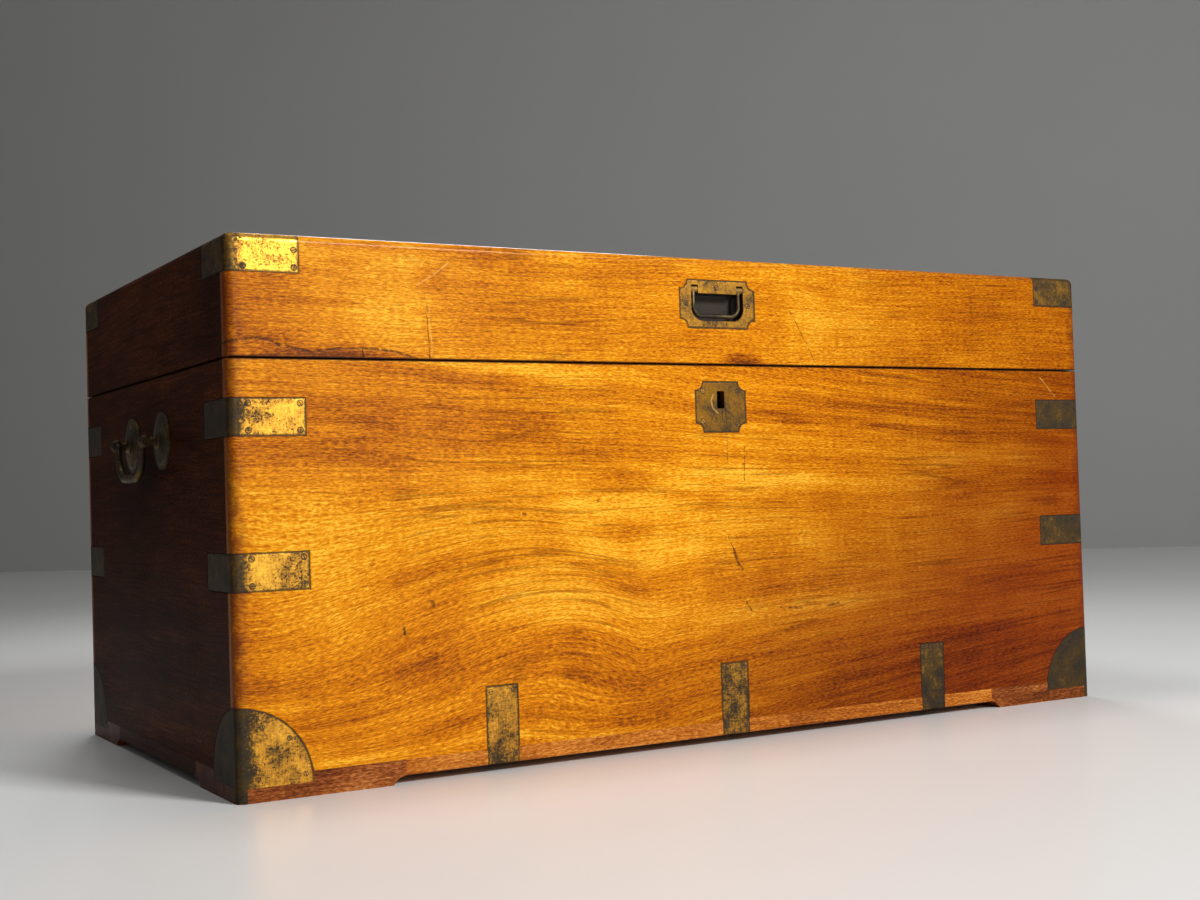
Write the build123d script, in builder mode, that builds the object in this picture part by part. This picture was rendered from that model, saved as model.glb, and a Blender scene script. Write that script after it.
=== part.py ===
from build123d import *
from math import sqrt
import os

os.makedirs("parts", exist_ok=True)

# The trunk stands on the XY plane, in millimetres. X runs along its length, the front faces -Y,
# and the origin is under the middle of the case, on the floor.

# Case
case_length = 1000.0
case_depth = 520.0
case_height = 480.0
lid_height = 105.4
seam_gap = 1.6
wall = 20.0
lap = 12.5
arris_radius = 7.0
lid_top_thickness = 16.0
lid_lip = 8.0
bottom_thickness = 15.0

# Base frame and feet
base_height = 21.5
base_width = 36.0
strip_lift = 7.5
foot_front_length = 152.0
foot_end_length = 120.0
foot_toe = 12.0
foot_toe_sag = 1.9
eased_edge = 1.5

# Flush brass binding
brass = 1.5
strap_width = 32.0
strap_front_leg = 68.0
strap_end_leg = 68.0
upper_strap_below_rim = 65.5
middle_strap_low = 176.3
corner_plate_low = 12.4
corner_plate_radius = 67.0
corner_plate_flange = 9.0
corner_plate_floor_gap = 0.4
lid_cap_reach = 65.0
lid_cap_leg = 33.0
bottom_strap_top = 78.0
bottom_strap_return = 30.0
bottom_strap_from_end = 242.0
bottom_strap_shift = 6.0

# Flush pull in the lid
pull_width = 89.5
pull_height = 47.5
pull_below_top = 46.0
pull_notch = 9.0
recess_width = 62.7
recess_height = 27.5
recess_low_below_pull = 16.7
recess_corner = 13.0
recess_depth = 13.0
recess_floor_radius = 2.5
cup_wall = 1.3
slot_width = 8.6
slot_height = 8.3
slot_corner = 1.5
slot_depth = 6.9
bail_rod_radius = 2.2
bail_corner = 10.0
bail_low_gap = 2.9
eye_radius = 3.2
eye_side_gap = 0.3
eye_setback = 3.4
pull_pin_radius = 1.0

# Box lock, its plate and its link plate
lock_plate_width = 60.0
lock_plate_height = 50.0
lock_plate_below_rim = 41.1
lock_plate_notch = 9.0
keyhole_width = 9.0
keyhole_height = 17.5
keyhole_corner = 1.5
keyhole_below_rim = 34.0
lock_case_width = 84.0
lock_case_height = 62.0
lock_case_thickness = 13.0
lock_case_wall = 1.6
selvedge_width = 104.0
selvedge_thickness = 1.8
drill_pin_radius = 1.5
drill_pin_above_keyhole = 5.0
lock_shelf_below_rim = 25.0
lock_shelf_thickness = 2.0
lock_shelf_gap = 16.0
link_plate_width = 80.0
link_plate_depth = 14.0
link_plate_thickness = 2.0
link_spacing = 44.0
link_thickness = 3.0
link_width = 8.0
link_drop = 14.0
link_hole_radius = 2.4
link_hole_drop = 9.4
link_slot_gap = 0.8
bolt_thickness = 3.0
bolt_bar_height = 8.0
bolt_arm_width = 4.0
bolt_nose_length = 7.5
bolt_nose_radius = 1.9
bolt_rest_gap = 1.0
bolt_lift = 0.3
bolt_talon_width = 6.0
bolt_talon_depth = 3.0

# Butt hinges
hinge_length = 76.0
hinge_place = 300.0
hinge_axis_setback = 2.5
knuckle_radius = 4.5
knuckle_count = 5
knuckle_side_gap = 0.2
leaf_thickness = 2.0
leaf_inset = 2.0
hinge_pin_radius = 2.0
hinge_pin_head = 1.4
hinge_pin_head_radius = 3.4
hinge_clearance = 0.4

# End handles
handle_below_rim = 61.0
post_spacing = 110.0
post_reach = 17.0
rose_radius = 27.5
rose_rim = 1.6
rose_step_radius = 21.5
rose_step_rise = 2.8
rose_cove_sag = 0.7
rose_dome_sag = 0.3
rose_rise = 4.0
collar_radius = 8.0
collar_height = 2.2
collar_cove_radius = 5.0
neck_cove = 1.2
neck_radius = 4.4
shank_radius = 4.0
ball_radius = 6.3
ball_half_width = 4.5
handle_end_radius = 3.0
handle_grip_radius = 4.3
handle_drop = 34.0
handle_bend_radius = 4.6
handle_corner_radius = 26.0
handle_button_radius = 4.4
handle_button_length = 2.2
handle_side_gap = 0.35
nut_across = 14.0
nut_thickness = 6.0
shank_end = 1.5

# Fits
running_clearance = 0.05
seated_clearance = 0.02

# Worked out from the sizes above
front_y = -case_depth / 2
left_x = -case_length / 2
lid_low = case_height - lid_height
rim_height = lid_low - seam_gap
front_left = (left_x, front_y)
front_plane = Plane.XZ.offset(case_depth / 2)
left_end_plane = Plane.YZ.offset(left_x)
low_corner = (Align.MIN, Align.MIN)


def keep(part, name):
    """Label a finished piece and write its file."""
    part.label = name
    export_step(part, f"parts/{name}.step")


def at_right_end(part):
    """The same piece at the other end of the trunk."""
    return mirror(part, about=Plane.YZ)


def at_back(part):
    """The same piece on the other long side of the trunk."""
    return mirror(part, about=Plane.XZ)


def at_corners(part):
    """A piece of the front left corner, and its three mirrored fellows."""
    right = at_right_end(part)
    return {
        "front_left": part,
        "front_right": right,
        "back_left": at_back(part),
        "back_right": at_back(right),
    }


# Outer shape of body and lid, from which boards are divided and under which the brass lies


def body_outside(inset):
    """The body's outer shape, drawn in by inset on its four sides."""
    with BuildPart() as block:
        with BuildSketch():
            Rectangle(case_length - 2 * inset, case_depth - 2 * inset)
        extrude(amount=rim_height)
        fillet(block.edges().filter_by(Axis.Z), arris_radius - inset)
    return block.part


def lid_outside(inset):
    """The lid's outer shape, drawn in by inset on its sides and top."""
    with BuildPart() as block:
        with BuildSketch(Plane.XY.offset(lid_low)):
            Rectangle(case_length - 2 * inset, case_depth - 2 * inset)
        extrude(amount=case_height - inset - lid_low)
        fillet(block.edges().filter_by(Axis.Z), arris_radius - inset)
        fillet(block.faces().sort_by(Axis.Z)[-1].edges(), arris_radius - inset)
    return block.part


body_skin = body_outside(0)
body_core = body_outside(brass)
lid_skin = lid_outside(0)
lid_core = lid_outside(brass)


# Brass binding, each piece let in flush


def arris_strap(low):
    """A strap bent round the front left arris of the body."""
    with BuildPart() as strap:
        with BuildSketch(Plane.XY.offset(low)):
            with Locations(front_left):
                Rectangle(strap_front_leg, strap_end_leg, align=low_corner)
        extrude(amount=strap_width)
        add(body_skin, mode=Mode.INTERSECT)
        add(body_core, mode=Mode.SUBTRACT)
    return strap.part


def quarter_flap(corner):
    """Outline of a quarter round flap above corner, with a narrow flange down to the floor."""
    with BuildSketch() as flap:
        with Locations((corner, corner_plate_low)):
            Circle(corner_plate_radius)
            Rectangle(
                corner_plate_radius, corner_plate_radius, align=low_corner, mode=Mode.INTERSECT
            )
        with Locations((corner, corner_plate_floor_gap)):
            Rectangle(
                corner_plate_flange, corner_plate_low - corner_plate_floor_gap, align=low_corner
            )
    return flap.sketch


with BuildPart() as corner_plate:
    with BuildSketch():
        with Locations(front_left):
            Rectangle(corner_plate_radius, corner_plate_radius, align=low_corner)
    extrude(amount=corner_plate_low + corner_plate_radius)
    add(body_skin, mode=Mode.INTERSECT)
    add(body_core, mode=Mode.SUBTRACT)
    with BuildSketch(Plane.XZ):
        add(quarter_flap(left_x))
    extrude(amount=case_depth, mode=Mode.INTERSECT)
    with BuildSketch(Plane.YZ):
        add(quarter_flap(front_y))
    extrude(amount=-case_length, mode=Mode.INTERSECT)

lid_cap_low = case_height - lid_cap_leg

with BuildPart() as lid_cap:
    with BuildSketch(Plane.XY.offset(lid_cap_low)):
        with Locations(front_left):
            Circle(lid_cap_reach)
            Rectangle(lid_cap_reach, lid_cap_reach, align=low_corner, mode=Mode.INTERSECT)
    extrude(amount=case_height - lid_cap_low)
    add(lid_skin, mode=Mode.INTERSECT)
    add(lid_core, mode=Mode.SUBTRACT)


def bottom_strap(place):
    """A strap up the front of the case that turns under the base strip."""
    foot_line = (front_y, strip_lift)
    with BuildPart() as strap:
        with BuildSketch(Plane.YZ.offset(place - strap_width / 2)) as section:
            with Locations(foot_line):
                Rectangle(brass, bottom_strap_top - strip_lift, align=low_corner)
                Rectangle(bottom_strap_return, brass, align=low_corner)
            fillet(section.vertices().sort_by_distance(foot_line)[0], eased_edge)
        extrude(amount=strap_width)
    return strap.part


upper_straps = at_corners(arris_strap(rim_height - upper_strap_below_rim))
middle_straps = at_corners(arris_strap(middle_strap_low))
corner_plates = at_corners(corner_plate.part)
lid_caps = at_corners(lid_cap.part)
bottom_strap_spacing = case_length / 2 - bottom_strap_from_end
strap_places = {
    "left": bottom_strap_shift - bottom_strap_spacing,
    "middle": bottom_strap_shift,
    "right": bottom_strap_shift + bottom_strap_spacing,
}
front_bottom_straps = {name: bottom_strap(place) for name, place in strap_places.items()}
back_bottom_straps = {name: at_back(strap) for name, strap in front_bottom_straps.items()}


# Flush pull: a notched plate with a cup behind it, and a bail on two hidden pins

pull_centre_height = case_height - pull_below_top
recess_low = pull_centre_height - recess_low_below_pull
recess_centre_height = recess_low + recess_height / 2
recess_top = recess_low + recess_height
slot_place = (recess_width - slot_width) / 2
pull_axis_height = recess_top + slot_height / 2
pull_axis_y = front_y + eye_setback
eye_width = slot_width - 2 * eye_side_gap
slot_sites = ((-slot_place, recess_top), (slot_place, recess_top))


def recess_outline(grow):
    """The finger recess seen from the front, with round lower corners, grown all round."""
    with BuildSketch() as outline:
        with Locations((0, recess_centre_height)):
            Rectangle(recess_width, recess_height)
        fillet(outline.vertices().group_by(Axis.Y)[0], recess_corner)
        if grow:
            offset(amount=grow)
    return outline.sketch


def slot_outline(grow):
    """The two knuckle slots that open upwards from the recess, grown all round."""
    with BuildSketch() as outline:
        with Locations(*slot_sites):
            Rectangle(slot_width, 2 * slot_height)
        fillet(outline.vertices(), slot_corner)
        if grow:
            offset(amount=grow)
    return outline.sketch


with BuildPart() as pull_block:
    with BuildSketch(front_plane):
        with Locations((0, pull_centre_height)):
            Rectangle(pull_width, pull_height)
            with GridLocations(pull_width, pull_height, 2, 2):
                Circle(pull_notch, mode=Mode.SUBTRACT)
    extrude(amount=-brass)
    with BuildSketch(front_plane):
        add(recess_outline(cup_wall))
    extrude(amount=-(recess_depth + cup_wall))
    with BuildSketch(front_plane):
        add(slot_outline(cup_wall))
    extrude(amount=-(slot_depth + cup_wall))

with BuildPart() as recess_space:
    with BuildSketch(front_plane):
        add(recess_outline(0))
    extrude(amount=-recess_depth)
    fillet(recess_space.faces().sort_by(Axis.Y)[-1].edges(), recess_floor_radius)
    with BuildSketch(front_plane):
        add(slot_outline(0))
    extrude(amount=-slot_depth)

with BuildPart() as pull_plate:
    add(pull_block.part)
    add(recess_space.part, mode=Mode.SUBTRACT)
    for side in (-1, 1):
        with Locations((side * slot_place, pull_axis_y, pull_axis_height)):
            Cylinder(
                pull_pin_radius + seated_clearance,
                slot_width + 2 * cup_wall,
                rotation=(0, 90, 0),
                mode=Mode.SUBTRACT,
            )

with BuildPart() as pull_pins:
    for side in (-1, 1):
        with Locations((side * slot_place, pull_axis_y, pull_axis_height)):
            Cylinder(pull_pin_radius, slot_width + 2 * cup_wall, rotation=(0, 90, 0))

with BuildPart() as pull_handle:
    bail_low = recess_low + bail_low_gap + bail_rod_radius
    with BuildLine(Plane.XZ.offset(-pull_axis_y)) as bail_line:
        FilletPolyline(
            (-slot_place, pull_axis_height),
            (-slot_place, bail_low),
            (slot_place, bail_low),
            (slot_place, pull_axis_height),
            radius=bail_corner,
        )
    with BuildSketch(Plane(bail_line.line @ 0, z_dir=bail_line.line % 0)):
        Circle(bail_rod_radius)
    sweep(path=bail_line.line)
    for side in (-1, 1):
        with Locations((side * slot_place, pull_axis_y, pull_axis_height)):
            Cylinder(eye_radius, eye_width, rotation=(0, 90, 0))
            Cylinder(
                pull_pin_radius + running_clearance,
                eye_width,
                rotation=(0, 90, 0),
                mode=Mode.SUBTRACT,
            )


# Box lock let into the inside of the front board

lock_inner_y = front_y + wall
lock_outer_y = lock_inner_y - lock_case_thickness
lock_middle_y = (lock_inner_y + lock_outer_y) / 2
lock_plate_centre_height = rim_height - lock_plate_below_rim
keyhole_centre_height = rim_height - keyhole_below_rim
drill_pin_height = keyhole_centre_height + drill_pin_above_keyhole
lock_shelf_height = rim_height - lock_shelf_below_rim
lock_low = rim_height - lock_case_height
lock_space_top = rim_height - selvedge_thickness
link_places = (-link_spacing / 2, link_spacing / 2)
keyhole_plane = Plane.XZ.offset(-lock_middle_y)


def keyhole():
    """The worn keyhole seen from the front."""
    with BuildSketch() as hole:
        with Locations((0, keyhole_centre_height)):
            RectangleRounded(keyhole_width, keyhole_height, keyhole_corner)
    return hole.sketch


with BuildPart() as lock_plate:
    with BuildSketch(front_plane):
        with Locations((0, lock_plate_centre_height)):
            Rectangle(lock_plate_width, lock_plate_height)
            with GridLocations(lock_plate_width, lock_plate_height, 2, 2):
                Circle(lock_plate_notch, mode=Mode.SUBTRACT)
        add(keyhole(), mode=Mode.SUBTRACT)
    extrude(amount=-brass)

with BuildPart() as lock_block:
    with BuildSketch(Plane.XY.offset(lock_low)):
        with Locations((0, lock_middle_y)):
            Rectangle(lock_case_width, lock_case_thickness)
    extrude(amount=lock_case_height)
    with BuildSketch(Plane.XY.offset(lock_space_top)):
        with Locations((0, lock_middle_y)):
            Rectangle(selvedge_width, lock_case_thickness)
    extrude(amount=selvedge_thickness)

with BuildPart() as lock_case:
    space_width = lock_case_width - 2 * lock_case_wall
    space_depth = lock_case_thickness - 2 * lock_case_wall
    add(lock_block.part)
    with BuildSketch(Plane.XY.offset(lock_low + lock_case_wall)):
        with Locations((0, lock_middle_y)):
            Rectangle(space_width, space_depth)
    extrude(amount=lock_space_top - lock_low - lock_case_wall, mode=Mode.SUBTRACT)
    with BuildSketch(Plane.XY.offset(lock_shelf_height)):
        with Locations((0, lock_middle_y)):
            Rectangle(space_width, space_depth)
            Rectangle(lock_shelf_gap, space_depth, mode=Mode.SUBTRACT)
    extrude(amount=lock_shelf_thickness)
    with BuildSketch(Plane.XY.offset(lock_space_top)):
        for place in link_places:
            with Locations((place, lock_middle_y)):
                Rectangle(link_thickness + 2 * link_slot_gap, link_width + 2 * link_slot_gap)
    extrude(amount=selvedge_thickness, mode=Mode.SUBTRACT)
    with BuildSketch(keyhole_plane):
        add(keyhole())
    extrude(amount=lock_case_thickness, mode=Mode.SUBTRACT)
    with BuildSketch(Plane.XZ.offset(-lock_inner_y)):
        with Locations((0, drill_pin_height)):
            Circle(drill_pin_radius)
    extrude(amount=lock_case_thickness)

bolt_low = lock_shelf_height + lock_shelf_thickness + bolt_lift
link_hole_height = lid_low - link_hole_drop
nose_back = -link_thickness / 2 - bolt_rest_gap - bolt_nose_length
arm_places = [place + nose_back - bolt_arm_width / 2 for place in link_places]

with BuildPart() as lock_bolt:
    bar_left = arm_places[0] - bolt_arm_width / 2
    bar_right = arm_places[1] + bolt_arm_width / 2
    with BuildSketch(Plane.XZ.offset(-lock_middle_y)):
        with Locations((bar_left, bolt_low)):
            Rectangle(bar_right - bar_left, bolt_bar_height, align=low_corner)
        with Locations((0, bolt_low)):
            Rectangle(bolt_talon_width, 2 * bolt_talon_depth, mode=Mode.SUBTRACT)
        for place in arm_places:
            with Locations((place - bolt_arm_width / 2, bolt_low)):
                Rectangle(
                    bolt_arm_width,
                    link_hole_height + bolt_nose_radius - bolt_low,
                    align=low_corner,
                )
    extrude(amount=bolt_thickness / 2, both=True)
    for place in arm_places:
        nose_middle = place + (bolt_arm_width + bolt_nose_length) / 2
        with Locations((nose_middle, lock_middle_y, link_hole_height)):
            Cylinder(bolt_nose_radius, bolt_nose_length, rotation=(0, 90, 0))

with BuildPart() as link_plate:
    with BuildSketch(Plane.XY.offset(lid_low)):
        with Locations((0, lock_middle_y)):
            Rectangle(link_plate_width, link_plate_depth)
    extrude(amount=link_plate_thickness)
    with BuildSketch(Plane.XY.offset(lid_low)):
        for place in link_places:
            with Locations((place, lock_middle_y)):
                Rectangle(link_thickness, link_width)
    extrude(amount=-link_drop)
    with Locations((0, lock_middle_y, link_hole_height)):
        Cylinder(
            link_hole_radius,
            link_spacing + 2 * link_thickness,
            rotation=(0, 90, 0),
            mode=Mode.SUBTRACT,
        )

with BuildPart() as link_plate_bed:
    with BuildSketch(Plane.XY.offset(lid_low)):
        with Locations((0, lock_middle_y)):
            Rectangle(link_plate_width, link_plate_depth)
    extrude(amount=link_plate_thickness)


# Butt hinges in the back edge, with their knuckles just behind the case

hinge_axis_y = case_depth / 2 + hinge_axis_setback
hinge_axis_height = rim_height + seam_gap / 2
knuckle_pitch = hinge_length / knuckle_count
knuckle_length = knuckle_pitch - knuckle_side_gap
leaf_edge_y = case_depth / 2 - wall + leaf_inset


def knuckle_row(first, radius, length):
    """Every second knuckle of the right hinge, starting with knuckle number first."""
    with BuildPart() as row:
        for number in range(first, knuckle_count, 2):
            place = hinge_place - hinge_length / 2 + (number + 0.5) * knuckle_pitch
            with Locations((place, hinge_axis_y, hinge_axis_height)):
                Cylinder(radius, length, rotation=(0, 90, 0))
    return row.part


def hinge_leaf(low, first, other_first):
    """A leaf with its own knuckles, cut back round the knuckles of the other leaf."""
    with BuildPart() as leaf:
        with BuildSketch(Plane.XY.offset(low)):
            with Locations((hinge_place, leaf_edge_y)):
                Rectangle(
                    hinge_length, hinge_axis_y - leaf_edge_y, align=(Align.CENTER, Align.MIN)
                )
        extrude(amount=leaf_thickness)
        cut_length = knuckle_pitch + knuckle_side_gap
        cutter = knuckle_row(other_first, knuckle_radius + hinge_clearance, cut_length)
        add(cutter, mode=Mode.SUBTRACT)
        add(knuckle_row(first, knuckle_radius, knuckle_length))
        with Locations((hinge_place, hinge_axis_y, hinge_axis_height)):
            Cylinder(
                hinge_pin_radius + running_clearance,
                hinge_length,
                rotation=(0, 90, 0),
                mode=Mode.SUBTRACT,
            )
    return leaf.part


def leaf_bed(low):
    """The bed for a leaf and its knuckles in the edge of a board."""
    with BuildPart() as bed:
        with BuildSketch(Plane.XY.offset(low)):
            with Locations((hinge_place, leaf_edge_y)):
                Rectangle(
                    hinge_length, hinge_axis_y - leaf_edge_y, align=(Align.CENTER, Align.MIN)
                )
        extrude(amount=leaf_thickness)
        with Locations((hinge_place, hinge_axis_y, hinge_axis_height)):
            Cylinder(
                knuckle_radius + hinge_clearance,
                hinge_length + 2 * (hinge_pin_head + hinge_clearance),
                rotation=(0, 90, 0),
            )
    return bed.part


lower_leaf = hinge_leaf(rim_height - leaf_thickness, 0, 1)
upper_leaf = hinge_leaf(lid_low, 1, 0)
lower_bed = leaf_bed(rim_height - leaf_thickness)
upper_bed = leaf_bed(lid_low)

with BuildPart() as hinge_pin:
    with Locations((hinge_place, hinge_axis_y, hinge_axis_height)):
        Cylinder(hinge_pin_radius, hinge_length, rotation=(0, 90, 0))
    for side in (-1, 1):
        place = hinge_place + side * (hinge_length + hinge_pin_head) / 2
        with Locations((place, hinge_axis_y, hinge_axis_height)):
            Cylinder(hinge_pin_head_radius, hinge_pin_head, rotation=(0, 90, 0))


# End handles: roses, posts with ball eyes, and a bail that hangs from them

handle_height = rim_height - handle_below_rim
handle_axis_x = left_x - post_reach
post_places = (-post_spacing / 2, post_spacing / 2)


def turning_plane(place):
    """Plane for a piece turned about a post's axis: x points out of the left end, y upwards."""
    return Plane(origin=(left_x, place, handle_height), x_dir=(-1, 0, 0), z_dir=(0, 1, 0))


def turning_axis(place):
    """The axis of a post on the left end."""
    return Axis((left_x, place, handle_height), (-1, 0, 0))


with BuildPart() as left_roses:
    rose_bore = shank_radius + seated_clearance
    for place in post_places:
        with BuildSketch(turning_plane(place)):
            with BuildLine():
                Polyline(
                    (rose_rise, collar_radius),
                    (rose_rise, rose_bore),
                    (0, rose_bore),
                    (0, rose_radius),
                    (rose_rim, rose_radius),
                )
                SagittaArc(
                    (rose_rim, rose_radius), (rose_step_rise, rose_step_radius), -rose_cove_sag
                )
                SagittaArc(
                    (rose_step_rise, rose_step_radius), (rose_rise, collar_radius), rose_dome_sag
                )
            make_face()
        revolve(axis=turning_axis(place))

with BuildPart() as left_posts:
    collar_top = rose_rise + collar_height
    neck_start = collar_top + neck_cove
    ball_start = post_reach - sqrt(ball_radius**2 - neck_radius**2)
    shank_low = -(wall + nut_thickness + shank_end)
    for place in post_places:
        with BuildSketch(turning_plane(place)):
            with BuildLine():
                Polyline(
                    (post_reach + ball_radius, 0),
                    (shank_low, 0),
                    (shank_low, shank_radius),
                    (rose_rise, shank_radius),
                    (rose_rise, collar_radius),
                    (rose_rise + collar_height / 2, collar_radius),
                )
                RadiusArc(
                    (rose_rise + collar_height / 2, collar_radius),
                    (neck_start, neck_radius),
                    collar_cove_radius,
                )
                Line((neck_start, neck_radius), (ball_start, neck_radius))
                ThreePointArc(
                    (ball_start, neck_radius),
                    (post_reach, ball_radius),
                    (post_reach + ball_radius, 0),
                )
            make_face()
        revolve(axis=turning_axis(place))
        with Locations((handle_axis_x, place, handle_height)):
            with GridLocations(0, 2 * ball_half_width + ball_radius, 1, 2):
                Box(2 * ball_radius, ball_radius, 2 * ball_radius, mode=Mode.SUBTRACT)
            Cylinder(
                handle_end_radius + running_clearance,
                2 * ball_radius,
                rotation=(90, 0, 0),
                mode=Mode.SUBTRACT,
            )

with BuildPart() as left_nuts:
    for place in post_places:
        with BuildSketch(left_end_plane.offset(wall)):
            with Locations((place, handle_height)):
                RegularPolygon(nut_across / 2, 6, major_radius=False)
                Circle(shank_radius + seated_clearance, mode=Mode.SUBTRACT)
        extrude(amount=nut_thickness)

with BuildPart() as left_handle:
    eye_inner = post_spacing / 2 - ball_half_width
    eye_outer = post_spacing / 2 + ball_half_width
    arm_place = eye_inner - handle_side_gap - handle_bend_radius
    bail_plane = Plane(
        origin=(handle_axis_x, 0, handle_height), x_dir=(0, 1, 0), z_dir=(1, 0, 0)
    )
    with BuildLine(bail_plane) as end_line:
        pivot = Line(
            (-(eye_outer + handle_side_gap), 0), (-(arm_place + handle_bend_radius), 0)
        )
        bend = RadiusArc(
            (-(arm_place + handle_bend_radius), 0),
            (-arm_place, -handle_bend_radius),
            handle_bend_radius,
        )
        arm = Line(
            (-arm_place, -handle_bend_radius), (-arm_place, handle_corner_radius - handle_drop)
        )
    with BuildSketch(Plane(end_line.line @ 0, z_dir=end_line.line % 0)):
        Circle(handle_end_radius)
    sweep(path=end_line.line)
    with BuildLine(bail_plane) as grip_line:
        RadiusArc(
            (-arm_place, handle_corner_radius - handle_drop),
            (handle_corner_radius - arm_place, -handle_drop),
            -handle_corner_radius,
        )
        Line((handle_corner_radius - arm_place, -handle_drop), (0, -handle_drop))
    with BuildSketch(Plane(grip_line.line @ 0, z_dir=grip_line.line % 0)):
        Circle(handle_end_radius)
    with BuildSketch(Plane(grip_line.line @ 1, z_dir=grip_line.line % 1)):
        Circle(handle_grip_radius)
    sweep(path=grip_line.line, multisection=True)
    button_middle = eye_outer + handle_side_gap + handle_button_length / 2
    with Locations((handle_axis_x, -button_middle, handle_height)):
        Cylinder(handle_button_radius, handle_button_length, rotation=(90, 0, 0))
    mirror(about=Plane.XZ)


# Base frame and feet


def toe_cut(corner_distance):
    """The curve that lifts the end of a foot's leg to the underside of the strip."""
    with BuildSketch() as cut:
        with BuildLine():
            Line((corner_distance - foot_toe, 0), (corner_distance, 0))
            Line((corner_distance, 0), (corner_distance, strip_lift))
            SagittaArc(
                (corner_distance, strip_lift),
                (corner_distance - foot_toe, 0),
                -foot_toe_sag,
            )
        make_face()
    return cut.sketch


with BuildPart() as foot:
    with BuildSketch():
        with Locations(front_left):
            Rectangle(foot_front_length, base_width, align=low_corner)
            Rectangle(base_width, foot_end_length, align=low_corner)
    extrude(amount=base_height)
    with BuildSketch(Plane.XZ):
        with Locations((left_x, 0)):
            add(toe_cut(foot_front_length))
    extrude(amount=case_depth / 2, mode=Mode.SUBTRACT)
    with BuildSketch(Plane.YZ):
        with Locations((front_y, 0)):
            add(toe_cut(foot_end_length))
    extrude(amount=-case_length / 2, mode=Mode.SUBTRACT)
    add(body_skin, mode=Mode.INTERSECT)
    add(corner_plate.part, mode=Mode.SUBTRACT)

with BuildPart() as front_base_strip:
    with BuildSketch(Plane.XY.offset(strip_lift)):
        with Locations((0, front_y)):
            Rectangle(
                case_length - 2 * foot_front_length, base_width, align=(Align.CENTER, Align.MIN)
            )
    extrude(amount=base_height - strip_lift)
    low_edge = front_base_strip.edges().filter_by(Axis.X).group_by(Axis.Z)[0].sort_by(Axis.Y)[0]
    fillet(low_edge, eased_edge)
    for strap in front_bottom_straps.values():
        add(strap, mode=Mode.SUBTRACT)

with BuildPart() as left_base_strip:
    with BuildSketch(Plane.XY.offset(strip_lift)):
        with Locations((left_x, 0)):
            Rectangle(
                base_width, case_depth - 2 * foot_end_length, align=(Align.MIN, Align.CENTER)
            )
    extrude(amount=base_height - strip_lift)
    low_edge = left_base_strip.edges().filter_by(Axis.Y).group_by(Axis.Z)[0].sort_by(Axis.X)[0]
    fillet(low_edge, eased_edge)

with BuildPart() as bottom_board:
    with BuildSketch(Plane.XY.offset(base_height)):
        Rectangle(case_length - 2 * wall, case_depth - 2 * wall)
    extrude(amount=bottom_thickness)


# Boards of body and lid: the long boards lap over the ends of the end boards


def long_board(low, high, outside, let_in):
    """The front board of body or lid, rebated behind its ends, with beds for what is let in."""
    rebate_y = front_y + lap
    with BuildPart() as board:
        with BuildSketch(Plane.XY.offset(low)):
            with Locations((0, front_y)):
                Rectangle(case_length, wall, align=(Align.CENTER, Align.MIN))
            for end in (-1, 1):
                with Locations((end * (case_length - wall) / 2, rebate_y)):
                    Rectangle(
                        wall, wall - lap, align=(Align.CENTER, Align.MIN), mode=Mode.SUBTRACT
                    )
        extrude(amount=high - low)
        add(outside, mode=Mode.INTERSECT)
        for piece in let_in:
            add(piece, mode=Mode.SUBTRACT)
    return board.part


def end_board(low, high, outside, let_in):
    """The left end board of body or lid, between the laps of the long boards."""
    with BuildPart() as board:
        with BuildSketch(Plane.XY.offset(low)):
            with Locations((left_x, 0)):
                Rectangle(wall, case_depth - 2 * lap, align=(Align.MIN, Align.CENTER))
        extrude(amount=high - low)
        add(outside, mode=Mode.INTERSECT)
        for piece in let_in:
            add(piece, mode=Mode.SUBTRACT)
    return board.part


body_corner_brass = (upper_straps, middle_straps, corner_plates)
front_corner_brass = [
    group[corner] for group in body_corner_brass for corner in ("front_left", "front_right")
]
left_corner_brass = [
    group[corner] for group in body_corner_brass for corner in ("front_left", "back_left")
]

with BuildPart() as keyhole_way:
    with BuildSketch(front_plane):
        add(keyhole())
    extrude(amount=-wall)

with BuildPart() as shank_ways:
    for place in post_places:
        with Locations((left_x + wall / 2, place, handle_height)):
            Cylinder(shank_radius + seated_clearance, wall, rotation=(0, 90, 0))

front_fittings = [lock_plate.part, lock_block.part, keyhole_way.part]
back_fittings = [at_back(lower_bed), at_back(at_right_end(lower_bed))]
plain_front_brass = front_corner_brass + list(front_bottom_straps.values())

front_board = long_board(
    base_height, rim_height, body_skin, plain_front_brass + front_fittings
)
back_board = at_back(
    long_board(base_height, rim_height, body_skin, plain_front_brass + back_fittings)
)
left_end_board = end_board(
    base_height, rim_height, body_skin, left_corner_brass + [shank_ways.part]
)

with BuildPart() as lid_top_space:
    with BuildSketch(Plane.XY.offset(case_height - lid_top_thickness)):
        Rectangle(case_length - 2 * lid_lip, case_depth - 2 * lid_lip)
    extrude(amount=lid_top_thickness)

with BuildPart() as lid_top_board:
    add(lid_top_space.part)
    for cap in lid_caps.values():
        add(cap, mode=Mode.SUBTRACT)

lid_front_caps = [lid_caps["front_left"], lid_caps["front_right"], lid_top_space.part]
lid_left_caps = [lid_caps["front_left"], lid_caps["back_left"], lid_top_space.part]
lid_front_fittings = [pull_block.part, link_plate_bed.part]
lid_back_fittings = [at_back(upper_bed), at_back(at_right_end(upper_bed))]

lid_front_board = long_board(
    lid_low, case_height, lid_skin, lid_front_caps + lid_front_fittings
)
lid_back_board = at_back(
    long_board(lid_low, case_height, lid_skin, lid_front_caps + lid_back_fittings)
)
lid_left_board = end_board(lid_low, case_height, lid_skin, lid_left_caps)


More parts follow.
